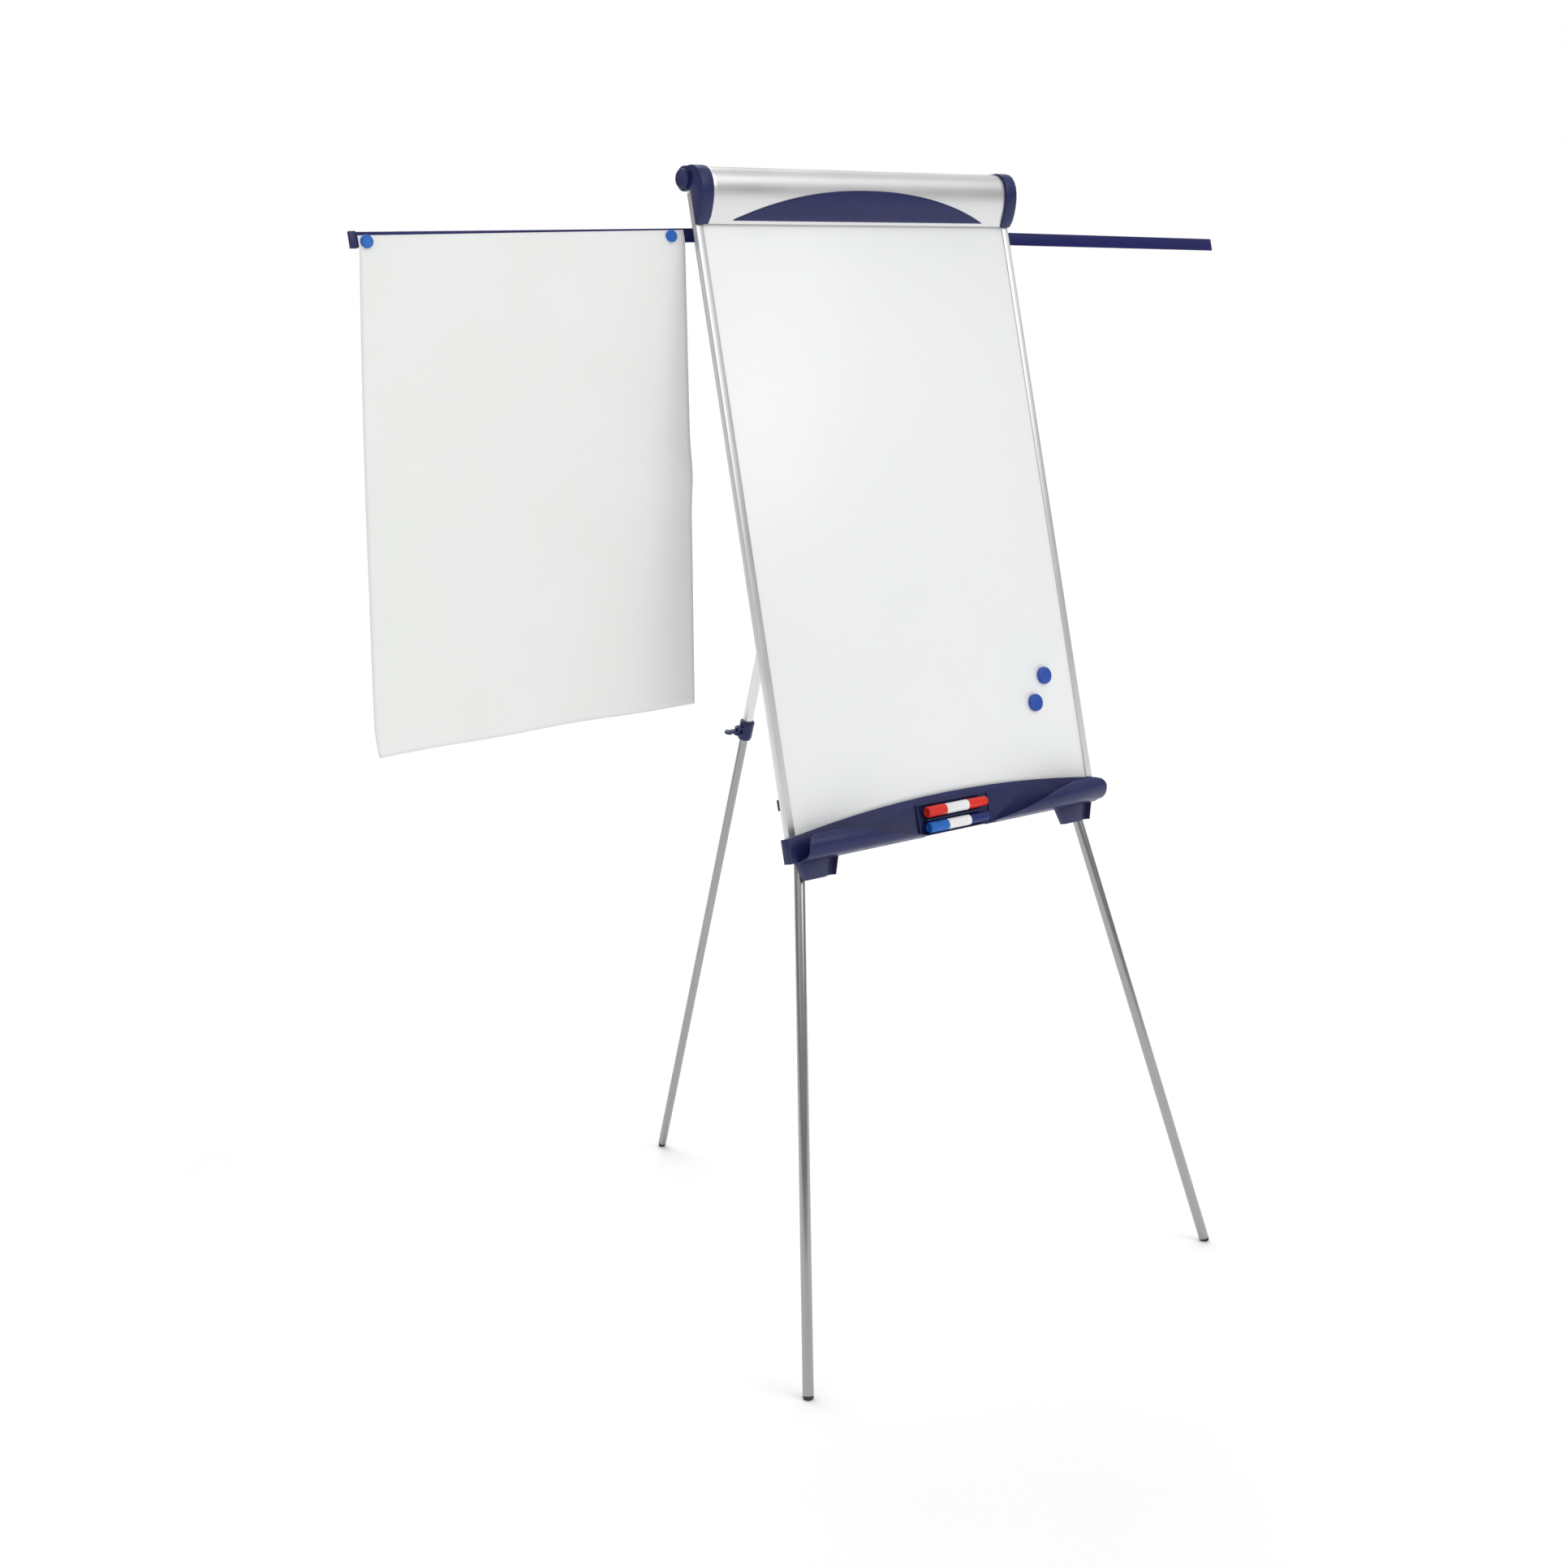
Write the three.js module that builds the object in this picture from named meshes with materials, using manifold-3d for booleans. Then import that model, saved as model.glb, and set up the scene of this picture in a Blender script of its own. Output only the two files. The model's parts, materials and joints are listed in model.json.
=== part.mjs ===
// Flipchart easel on three telescopic legs: a leaning magnetic whiteboard with a hinged pad clamp
// along its top, two sliding display arms, a pen tray and a folding rear leg.
// Millimetres, +Z up, +X along the display arms, the board faces -Y.
import * as THREE from 'three';
import { mergeVertices } from 'three/addons/utils/BufferGeometryUtils.js';
import Module from 'manifold-3d';

// ---- driving dimensions ----------------------------------------------------------------------
const LEAN = THREE.MathUtils.degToRad(13.7); // how far the board leans back
const BOARD_Y = -301.15; // board front plane at the top edge of the tray, measured along Y
const BOARD_Z = 824; // height of the tray's top edge above the floor
const BOARD_HALF = 350; // half the width over the two side rails
const RAIL_FACE = 14; // visible width of a side rail
const RAIL_DEPTH = 14; // depth of a side rail
const RAIL_TOP = 1036; // rails end inside the pad clamp
const RAIL_BOTTOM = -33;
const CLEAR = 0.25; // gap between neighbouring surfaces

const PIVOT_N = -10; // pad clamp turns about this line (forward, up the board)
const PIVOT_V = 1059;
const BARREL_R = 16;
const COVER_T = 2.2;
const CAP_IN = 328; // inner and outer faces of the clamp's end caps
const CAP_OUT = 352;

const ARM_REACH = 958; // arm tips, from the centre plane
const ARM_DROOP = THREE.MathUtils.degToRad(0.92);
const ARM_HEIGHT = 22.5;
const ARM_T = 3;
const ARM_V = [974.5, 976.5]; // height of the left and right carriage up the board
const ARM_N = [-33.8, -48.5]; // front face of the left and right arm
const CARRIAGE = [-340, -250]; // span of a carriage, mirrored for the right arm

const SHEET = { inner: -351.5, width: 594, height: 768, top: 982, strip: 19, t: 1, droop: 1.2 };
const SHEET_MAGNET_R = 10;
const BOARD_MAGNET_R = 15;

const FRONT_R = 8.75; // front leg tube
const FRONT_TOP = [320, -60, -24]; // leg axis below the tray (u, v, n), mirrored for the left leg
const FRONT_FOOT = [466.7, -845.3, -12.7];
const REAR_PIVOT = [925, -42]; // rear leg hinge (v, n)
const REAR_OFFSET = 23.34; // tube axis stands this far behind the hinge axis
const REAR_ANGLE = THREE.MathUtils.degToRad(30.19); // rear leg against the board
const REAR_UPPER_R = 9.25;
const REAR_LOWER_R = 7.5;
const REAR_LENGTH = 1791; // hinge to floor along the leg
const FOOT_SHOWS = 3.9; // how much of a foot shows below the end of its tube
const COLLAR = [866, 900.5]; // clamp collar, measured down the leg from the hinge

const TRAY_BOTTOM = -37;
const TRAY_HALF = 340.7; // ends of the pocket lips
const PLATE_HALF = 353.5; // ends of the tray's back plate
const LIP_R = 22; // rounded front lip of the pen pockets
const LIP_C = [16, -11]; // its centre (forward, up)
const BAY = { u0: -78, u1: 86, v0: -35.4, v1: 13.4 }; // marker bay in the middle of the tray
const MARKER = { from: -63, to: 74, n: 12, rows: [0.6, -25] };
const HOUSING = { u: 296, top: 42, bottom: 31, v0: -68, v1: -38.3 }; // half-widths at its top and bottom
const SLOT = { from: 21, to: 2 }; // open slot of a housing, measured in from its right-hand side

// ---- materials -------------------------------------------------------------------------------
function paint(color, roughness, metalness = 0) {
  return new THREE.MeshStandardMaterial({ color, roughness, metalness });
}
const NAVY = paint(0x252a5e, 0.38);
const ALUMINIUM = paint(0xc6c8ca, 0.36, 1);
const STEEL = paint(0x9a9da1, 0.4, 1);
const WHITE = paint(0xf0f2f1, 0.12);
const CORE = paint(0xb08a5c, 0.85);
const PAPER = paint(0xe9ebe8, 0.8);
const BLUE = paint(0x1f5fc0, 0.35);
const RED = paint(0xd8281f, 0.35);
const LABEL = paint(0xf2f2f2, 0.45);
const BLACK = paint(0x17171b, 0.7);

// ---- geometry helpers ------------------------------------------------------------------------
const wasm = await Module();
wasm.setup();

const root = new THREE.Group();
root.name = 'flipchart_easel';

function toSolid(geometry) {
  const bare = geometry.clone();
  bare.deleteAttribute('normal');
  bare.deleteAttribute('uv');
  const g = mergeVertices(bare, 1e-4);
  return new wasm.Manifold(new wasm.Mesh({
    numProp: 3,
    vertProperties: Float32Array.from(g.attributes.position.array),
    triVerts: Uint32Array.from(g.index.array),
  }));
}

function fromSolid(solid) {
  const mesh = solid.getMesh();
  const indexed = new THREE.BufferGeometry();
  indexed.setAttribute('position', new THREE.BufferAttribute(Float32Array.from(mesh.vertProperties), 3));
  indexed.setIndex(new THREE.BufferAttribute(Uint32Array.from(mesh.triVerts), 1));
  const flat = indexed.toNonIndexed();
  flat.computeVertexNormals();
  return flat;
}

const join = (first, ...others) => fromSolid(others.reduce((s, g) => s.add(toSolid(g)), toSolid(first)));
const cut = (first, ...others) => fromSolid(others.reduce((s, g) => s.subtract(toSolid(g)), toSolid(first)));
const common = (a, b) => fromSolid(toSolid(a).intersect(toSolid(b)));

// Board frame: u along +X, v up the board, n forward out of its face.
const boardMatrix = new THREE.Matrix4().makeBasis(
  new THREE.Vector3(1, 0, 0),
  new THREE.Vector3(0, Math.sin(LEAN), Math.cos(LEAN)),
  new THREE.Vector3(0, -Math.cos(LEAN), Math.sin(LEAN)),
).setPosition(0, BOARD_Y, BOARD_Z);
const fromBoard = (u, v, n) => new THREE.Vector3(u, v, n).applyMatrix4(boardMatrix);

function add(name, geometry, material) {
  const mesh = new THREE.Mesh(geometry, material);
  mesh.name = name;
  root.add(mesh);
}
const addOnBoard = (name, geometry, material) => add(name, geometry.applyMatrix4(boardMatrix), material);

const shapeOf = (points) => new THREE.Shape(points.map(([x, y]) => new THREE.Vector2(x, y)));

// Plate: outline in (u, v), between two values of n.
function plate(points, n0, n1) {
  const flat = new THREE.ExtrudeGeometry(shapeOf(points), { depth: n1 - n0, bevelEnabled: false });
  return flat.translate(0, 0, n0);
}

// Section: outline in (n, v), drawn out along u.
const sectionMatrix = new THREE.Matrix4().makeBasis(
  new THREE.Vector3(0, 1, 0), new THREE.Vector3(0, 0, 1), new THREE.Vector3(1, 0, 0));
function section(points, u0, u1) {
  const shape = shapeOf(points.map(([n, v]) => [v, n]));
  return new THREE.ExtrudeGeometry(shape, { depth: u1 - u0, bevelEnabled: false })
    .applyMatrix4(sectionMatrix).translate(u0, 0, 0);
}

const block = (u0, u1, v0, v1, n0, n1) => new THREE.BoxGeometry(u1 - u0, v1 - v0, n1 - n0)
  .translate((u0 + u1) / 2, (v0 + v1) / 2, (n0 + n1) / 2);

// Turned piece about +Y: [radius, height] pairs that start and end on the axis.
function turned(profile, segments = 28) {
  return new THREE.LatheGeometry(profile.map(([r, y]) => new THREE.Vector2(r, y)), segments);
}
const rod = (r, y0, y1, segments) => turned([[0, y0], [r, y0], [r, y1], [0, y1]], segments);
const tube = (r, inner, y0, y1, segments) => turned(
  [[inner, y0], [r, y0], [r, y1], [inner, y1], [inner, y0]], segments);
const alongU = (g) => g.rotateZ(-Math.PI / 2); // +Y becomes +u
const alongN = (g) => g.rotateX(Math.PI / 2); // +Y becomes +n

// Offsets an open line of points to its right-hand side and closes it into a wall.
function wall(points, t) {
  const inner = points.map((p, i) => {
    const a = points[Math.max(i - 1, 0)];
    const b = points[Math.min(i + 1, points.length - 1)];
    const length = Math.hypot(b[0] - a[0], b[1] - a[1]);
    return [p[0] + (t * (b[1] - a[1])) / length, p[1] - (t * (b[0] - a[0])) / length];
  });
  return [...points, ...inner.reverse()];
}

const arc = (cx, cy, r, from, to, steps) => Array.from({ length: steps + 1 }, (_, i) => {
  const a = THREE.MathUtils.degToRad(from + ((to - from) * i) / steps);
  return [cx + r * Math.cos(a), cy + r * Math.sin(a)];
});

// Frame whose +Y runs from one point to another, for pieces on a slanted leg.
function alongAxis(from, to) {
  const y = to.clone().sub(from).normalize();
  const z = new THREE.Vector3(0, -1, 0).addScaledVector(y, y.y).normalize();
  const x = y.clone().cross(z);
  return new THREE.Matrix4().makeBasis(x, y, z).setPosition(from);
}

// ---- whiteboard and its frame ----------------------------------------------------------------
// Rail outline: [inward from the board's edge, n], with a thin groove along its outer side.
const railProfile = [
  [0.6, 0], [RAIL_FACE, 0], [RAIL_FACE, -1.5], [2.2, -1.5], [2.2, -12.5], [RAIL_FACE, -12.5],
  [RAIL_FACE, -RAIL_DEPTH], [2.6, -RAIL_DEPTH], [0.9, -9.6], [0, -9], [0, -3.9], [0.9, -3.7],
  [0.9, -2.4], [0, -2.2], [0, -0.6],
];

function sideRail(side) {
  const outline = railProfile.map(([a, n]) => [side * (BOARD_HALF - a), n]);
  const depth = RAIL_TOP - RAIL_BOTTOM;
  return new THREE.ExtrudeGeometry(shapeOf(outline), { depth, bevelEnabled: false })
    .rotateX(Math.PI / 2).translate(0, RAIL_TOP, 0);
}

function crossRail(v0, up) {
  const outline = railProfile.map(([a, n]) => [n, v0 + up * a]);
  const half = BOARD_HALF - RAIL_FACE - CLEAR;
  return section(outline, -half, half);
}

addOnBoard('side_rail_left', sideRail(-1), ALUMINIUM);
addOnBoard('side_rail_right', sideRail(1), ALUMINIUM);
addOnBoard('bottom_rail', crossRail(RAIL_BOTTOM, 1), ALUMINIUM);
addOnBoard('top_rail', crossRail(1012, -1), ALUMINIUM);
const PANEL_HALF = BOARD_HALF - 2.5;
const panel = (n0, n1) => block(-PANEL_HALF, PANEL_HALF, -30.5, 1009.5, n0, n1);
addOnBoard('whiteboard_face', panel(-2.5, -1.7), WHITE);
addOnBoard('panel_core', panel(-11.35, -2.65), CORE);
addOnBoard('panel_back_sheet', panel(-12.3, -11.5), STEEL);

// ---- pad clamp along the top -----------------------------------------------------------------
const coverFront = [
  [3, 983], [10, 992], [17, 1003], [23, 1015], [27, 1026], [29.5, 1037], [30, 1047], [28.5, 1056],
  [24.5, 1064], [18, 1070.2], [9, 1074.4],
];
const coverOuter = [...coverFront, ...arc(PIVOT_N, PIVOT_V, BARREL_R + 2.9, 66, 165, 9)];
const header = section(wall([...coverOuter].reverse(), COVER_T), -CAP_IN + CLEAR, CAP_IN - CLEAR);
addOnBoard('clamp_cover', header, ALUMINIUM);

const capFront = coverFront.map(([n, v], i) => [n + (i === 0 ? 0.6 : 3.2), v + (i < 8 ? 0 : 1.6)]);
const capOutline = [
  ...capFront, ...arc(PIVOT_N, PIVOT_V, BARREL_R + 4.4, 66, 250, 14), [0.5, 1038], [0.5, 983],
];
for (const [name, side] of [['clamp_cap_left', -1], ['clamp_cap_right', 1]]) {
  const inside = [
    [3.5, 990], [9, 995], [19.5, 1012], [26, 1028], [29.5, 1040], [29.8, 1052], [25, 1062], [14, 1070],
    [3.5, 1073],
  ];
  const [a, b] = side < 0 ? [-CAP_OUT, -CAP_IN] : [CAP_IN, CAP_OUT];
  const [c, d] = side < 0 ? [-CAP_OUT + 3, -CAP_IN + 1] : [CAP_IN - 1, CAP_OUT - 3];
  const bore = alongU(rod(BARREL_R + 0.3, -CAP_OUT - 5, CAP_OUT + 5, 48)).translate(0, PIVOT_V, PIVOT_N);
  addOnBoard(name, cut(section(capOutline, a, b), section(inside, c, d), bore), NAVY);
}

// Curved trim: an arch-shaped outline laid over the front of the cover.
const trimOutline = [[-278, 988], ...Array.from({ length: 25 }, (_, i) => {
  const x = -1 + i / 12;
  return [278 * x, 988.6 + 46.5 * (1 - Math.abs(x) ** 2.15)];
}), [278, 988]];
const trimSkin = section(wall([...coverFront.map(([n, v]) => [n + 1.9, v - 0.2])].reverse(), 1.6), -300, 300);
addOnBoard('clamp_trim', common(plate(trimOutline, 0, 60), trimSkin), NAVY);

const stripOutline = [[-1.3, 984], [0.5, 984], [5.6, 991], [4, 993], [-1.3, 993]];
addOnBoard('clamp_strip', section(stripOutline, -325, 325), BLACK);
const onPivot = (g) => g.translate(0, PIVOT_V, PIVOT_N);
addOnBoard('pivot_barrel', onPivot(alongU(tube(BARREL_R, BARREL_R - 2, -351.5, 351.5, 40))), ALUMINIUM);
for (const [name, side] of [['barrel_plug_left', -1], ['barrel_plug_right', 1]]) {
  const plug = turned([
    [0, 330], [13.7, 330], [13.7, 351.75], [BARREL_R, 351.75], [BARREL_R, 357], [14.6, 358.6],
    [11.6, 358.6], [11, 357.9], [0, 357.9],
  ], 40);
  addOnBoard(name, onPivot(alongU(plug).rotateY(side < 0 ? Math.PI : 0)), NAVY);
}
const saddle = wall([...arc(PIVOT_N, PIVOT_V, BARREL_R + 2.4, 244, 300, 6)].reverse(), 2.2);
addOnBoard('barrel_saddle', join(
  section(saddle, -327, 327),
  section([[-16.8, 1004], [-14.25, 1004], [-14.25, 1042.5], [-16.8, 1043.4]], -327, 327),
), ALUMINIUM);

const hookRailOutline = [
  [-13.5, 1013], [-1, 1013], [-1, 1020], [-4, 1020], [-4, 1017], [-9, 1017],
  [-9, 1029], [-4, 1029], [-4, 1026], [-1, 1026], [-1, 1033], [-13.5, 1033],
];
addOnBoard('hook_rail', section(hookRailOutline, -335, 335), ALUMINIUM);
const hookOutline = [
  [-8.7, 1017.3], [-4.3, 1017.3], [-4.3, 1020.4], [14, 1020.4], [16, 1022], [16, 1034],
  [12, 1034], [12, 1025.6], [-4.3, 1025.6], [-4.3, 1028.7], [-8.7, 1028.7],
];
for (const [name, u] of [['pad_hook_left', -215], ['pad_hook_right', 215]]) {
  addOnBoard(name, section(hookOutline, u - 4, u + 4), BLACK);
}

// ---- pen tray --------------------------------------------------------------------------------
const trayTop = (u) => 4 + 23 * (1 - (u / TRAY_HALF) ** 2);
const lipHeights = [ // [u, v] along the top of the left lip
  [-341.5, -14], [-339, -6], [-333, 0.5], [-322, 4], [-275, 4.2], [-245, 0.5], [-217, -5], [-187, -13],
  [-157, -20.5], [-130, -26], [-104, -30], [-85, -33.5], [-72, -36],
];
const lipCurve = [[3.3, -37], [8, -36], ...arc(LIP_C[0], LIP_C[1], LIP_R, -90, 45, 12)];

function pocketLip(side) {
  const ends = side < 0 ? [-TRAY_HALF, -60] : [60, TRAY_HALF];
  const curl = section(wall([...lipCurve].reverse(), -2.4), ...ends);
  const keep = [...lipHeights.map(([u, v]) => [-side * u, v]), [-side * -70, -60], [-side * -345, -60]];
  return common(curl, plate(side < 0 ? keep : [...keep].reverse(), 2.5, 60));
}

const trayFace = [[-PLATE_HALF, TRAY_BOTTOM], [PLATE_HALF, TRAY_BOTTOM],
  ...Array.from({ length: 29 }, (_, i) => {
    const u = PLATE_HALF * (1 - i / 14);
    return [u, trayTop(u)];
  })];
addOnBoard('pen_tray', join(
  cut(plate(trayFace, CLEAR, 4), block(BAY.u0, BAY.u1, BAY.v0, BAY.v1, 1.6, 10)),
  pocketLip(-1), pocketLip(1),
  block(BAY.u0 - 2, BAY.u0, TRAY_BOTTOM, BAY.v1 + 2, 3.5, 9),
  block(BAY.u0 - 2, BAY.u1 - 16, BAY.v1, BAY.v1 + 2, 3.5, 9),
  block(BAY.u0 - 2, BAY.u1 + 4, TRAY_BOTTOM, BAY.v0 + 0.2, 1, 15), // ledge under the lower marker
  block(BAY.u0 + 14, BAY.u1 - 22, -13.6, -11.2, 1, 13), // ledge between the markers
), NAVY);

for (const [name, side] of [['tray_end_left', -1], ['tray_end_right', 1]]) {
  const outer = block(...(side < 0 ? [-354, -341] : [341, 354]), -38, 1.4, -16, 0);
  const pocket = block(...(side < 0 ? [-350.25, -340] : [340, 350.25]), -33.3, 10, -14.3, 5);
  addOnBoard(name, cut(outer, pocket), NAVY);
}

// Markers lie in the bay: cap to the left, body to the right.
for (const [colour, row, material] of [['red', 0, RED], ['blue', 1, BLUE]]) {
  const place = (g) => alongU(g).translate(0, MARKER.rows[row], MARKER.n);
  const { from, to } = MARKER;
  const cap = [
    [0, from], [8.2, from], [9.6, from + 1.6], [9.9, from + 40], [8.8, from + 40], [8.8, from + 6],
    [0, from + 6],
  ];
  const body = [
    [0, from + 6.3], [1.6, from + 6.3], [2.4, from + 14], [5, from + 17], [6.6, from + 24], [8.5, from + 26],
    [8.5, from + 40.3], [9.4, from + 40.6], [9.4, to - 10], [8.6, to - 8], [8.6, to - 2], [7.8, to], [0, to],
  ];
  addOnBoard(`marker_${colour}_cap`, place(turned(cap, 32)), material);
  addOnBoard(`marker_${colour}_body`, place(turned(body, 32)), LABEL);
}

// ---- magnets ---------------------------------------------------------------------------------
function magnet(r, t) {
  return turned([[0, 0], [r, 0], [r, t * 0.62], [r * 0.93, t * 0.9], [r * 0.8, t], [0, t]], 32);
}
[[268.5, 192.5], [237.5, 148.5]].forEach(([u, v], i) => {
  addOnBoard(`board_magnet_${i + 1}`, alongN(magnet(BOARD_MAGNET_R, 8)).translate(u, v, -1.5), BLUE);
});
[[-932.5, 960.6], [-378.5, 971.6]].forEach(([u, v], i) => {
  addOnBoard(`sheet_magnet_${i + 1}`, alongN(magnet(SHEET_MAGNET_R, 5.6)).translate(u, v, -32.1), BLUE);
});

// ---- display arms ----------------------------------------------------------------------------
// Each arm is a flat steel bar on a short T-shaped carriage that runs in a channel behind the board.
[['left', -1], ['right', 1]].forEach(([word, side], i) => {
  const v = ARM_V[i];
  const n = ARM_N[i];
  const mirror = (u0, u1) => (side < 0 ? [u0, u1] : [-u1, -u0]);
  const mid = (-side * (CARRIAGE[0] + CARRIAGE[1])) / 2;
  const tilt = (g) => g.translate(-mid, -v, 0).rotateZ(-side * ARM_DROOP).translate(mid, v, 0);
  const half = ARM_HEIGHT / 2;
  // The bar's outline grown all round by one amount.
  const slab = (u0, u1, grow) => block(
    ...mirror(u0, u1), v - half - grow, v + half + grow, n - ARM_T - grow, n + grow);
  addOnBoard(`arm_${word}_bar`, tilt(slab(-ARM_REACH + 2, CARRIAGE[1], 0)), NAVY);
  // The left bar ends in a slip-on cap, the right one in a flush end plate.
  const tipSocket = slab(-ARM_REACH + 1.7, -ARM_REACH + 20, CLEAR);
  const tip = side < 0 ? cut(slab(-ARM_REACH, -ARM_REACH + 11, 1.25), tipSocket)
    : slab(-ARM_REACH, -ARM_REACH + 1.8, 0);
  addOnBoard(`arm_${word}_tip`, tilt(tip), NAVY);
  const back = n - ARM_T - 0.2;
  const carriage = [
    [back, v - 2.6], [back - 3, v - 2.6], [back - 3, v - 6], [back - 6, v - 6],
    [back - 6, v + 6], [back - 3, v + 6], [back - 3, v + 2.6], [back, v + 2.6],
  ];
  addOnBoard(`arm_${word}_carriage`, section(carriage, ...mirror(...CARRIAGE)), BLACK);
  const lip = back - 1.2;
  const channel = [
    [lip - 1.5, v + 3.1], [lip - 1.5, v + 6.4], [lip - 5.2, v + 6.4], [lip - 5.2, v - 6.4],
    [lip - 1.5, v - 6.4], [lip - 1.5, v - 3.1], [lip, v - 3.1], [lip, v - 7.9],
    [lip - 6.8, v - 7.9], [lip - 6.8, v + 7.9], [lip, v + 7.9], [lip, v + 3.1],
  ];
  addOnBoard(`arm_${word}_channel`, section(channel, ...(side < 0 ? [-342, 45] : [-344, 342])), ALUMINIUM);
});
// Hangers carry both channels from above, so an arm and what hangs on it can pass under them.
// The right one carries only the deeper channel.
for (const [place, u] of [['left', -268], ['middle', 20], ['right', 268]]) {
  const legs = place === 'right' ? [] : [block(u - 12, u + 12, 966, 1011, -47.1, -45.2)];
  addOnBoard(`channel_hanger_${place}`, join(
    block(u - 12, u + 12, 1008, 1011, -61.8, -17.1),
    block(u - 12, u + 12, 1008, 1034, -19.6, -17.1),
    block(u - 12, u + 12, 968, 1011, -61.8, -59.9),
    ...legs,
  ), STEEL);
}

// Paper sheet: its top strip lies on the leaning bar, the rest hangs straight down.
{
  const s = Math.sin(LEAN);
  const c = Math.cos(LEAN);
  const drop = SHEET.height - SHEET.strip;
  const back = -33.4;
  const fold = SHEET.top - SHEET.strip;
  const line = [[back, SHEET.top], [back, fold], [back - drop * s, fold - drop * c]];
  const front = [
    [back + SHEET.t, SHEET.top], [back + SHEET.t, fold - 0.12],
    [back - drop * s + c * SHEET.t, fold - drop * c - s * SHEET.t],
  ];
  const g = section([...line, ...front.reverse()], SHEET.inner - SHEET.width, SHEET.inner);
  g.translate(-SHEET.inner, -SHEET.top, 0).rotateZ(THREE.MathUtils.degToRad(SHEET.droop))
    .translate(SHEET.inner, SHEET.top, 0);
  addOnBoard('hanging_sheet', g, PAPER);
}

// ---- front legs ------------------------------------------------------------------------------
const floorBox = new THREE.BoxGeometry(3000, 3000, 1000).translate(0, 0, 500);

// Rubber foot: a shallow dome below the tube's end and a plug inside it; the floor cuts it flat.
const footProfile = (r, plug) => [
  [0, -4], [r * 0.8, -4], [r - 0.9, -0.8], [r - 0.2, 1.9], [r, FOOT_SHOWS - 0.2], [plug, FOOT_SHOWS - 0.2],
  [plug, FOOT_SHOWS + 24], [0, FOOT_SHOWS + 24],
];

for (const [word, side] of [['left', -1], ['right', 1]]) {
  const upper = fromBoard(side * FRONT_TOP[0], FRONT_TOP[1], FRONT_TOP[2]);
  const foot = fromBoard(side * FRONT_FOOT[0], FRONT_FOOT[1], FRONT_FOOT[2]);
  const frame = alongAxis(foot, upper);
  const span = foot.distanceTo(upper);
  const place = (g) => g.applyMatrix4(frame);
  add(`front_leg_${word}`, place(tube(FRONT_R, FRONT_R - 1.2, FOOT_SHOWS, span + 190)), ALUMINIUM);
  add(`front_foot_${word}`, common(place(turned(footProfile(FRONT_R, FRONT_R - 1.45))), floorBox), BLACK);

  // Sleeve behind the board with a boss for the lock knob.
  const outward = (FRONT_FOOT[0] - FRONT_TOP[0]) / (FRONT_TOP[1] - FRONT_FOOT[1]);
  const knobV = 52;
  const knobU = side * (FRONT_TOP[0] - outward * (knobV - FRONT_TOP[1]));
  const knobN = -25.6; // leg axis at the knob's height
  const backward = (g, n) => alongN(g).rotateY(Math.PI).translate(knobU, knobV, n).applyMatrix4(boardMatrix);
  const boss = backward(rod(8, 0, 16, 20), knobN);
  const screwHole = backward(rod(3.1, 0, 60, 20), knobN);
  const bore = place(rod(FRONT_R + 0.1, -50, span + 400));
  const wrap = place(tube(12.2, 6, span + 48, span + 172));
  const flange = block(knobU - 26, knobU + 26, 20, 90, -17, -12.55).applyMatrix4(boardMatrix);
  const behindBoard = block(-400, 400, -15, 400, -200, -12.5).applyMatrix4(boardMatrix);
  add(`leg_sleeve_${word}`, common(cut(join(wrap, boss, flange), bore, screwHole), behindBoard), NAVY);
  const screw = turned([[0, 0], [3, 0], [3, 24], [5.5, 24], [5.5, 28], [0, 28]], 24);
  const wing = block(-3.2, 3.2, 26, 40.4, -9, 9);
  add(`leg_knob_${word}`, backward(join(screw, wing), knobN - FRONT_R - 0.4), BLACK);

  // Housing under the tray that hides the top of the leg, with an open slot at its right-hand end.
  const { top, bottom, v0, v1 } = HOUSING;
  const at = side * HOUSING.u;
  addOnBoard(`leg_housing_${word}`, cut(
    plate([[at - top, v1], [at - bottom, v0], [at + bottom, v0], [at + top, v1]], -11.6, 1),
    plate([
      [at + top - SLOT.from, v1 - 1.6], [at + bottom - SLOT.from, v0 - 1],
      [at + bottom - SLOT.to, v0 - 1], [at + top - SLOT.to, v1 - 1.6],
    ], -9, 5),
  ), NAVY);
}

// ---- rear leg --------------------------------------------------------------------------------
// Leg frame: +Y down the leg from the hinge, +Z away from the board, X along the hinge pin.
const hinge = fromBoard(0, ...REAR_PIVOT);
const legDown = new THREE.Vector3(0, -Math.sin(LEAN), -Math.cos(LEAN))
  .applyAxisAngle(new THREE.Vector3(1, 0, 0), REAR_ANGLE);
const legBack = legDown.clone().cross(new THREE.Vector3(1, 0, 0)).negate();
const legMatrix = new THREE.Matrix4().makeBasis(new THREE.Vector3(1, 0, 0), legDown, legBack)
  .setPosition(hinge);
const onLeg = (g) => g.applyMatrix4(legMatrix);
const onTube = (g) => g.translate(0, 0, REAR_OFFSET).applyMatrix4(legMatrix);

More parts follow.
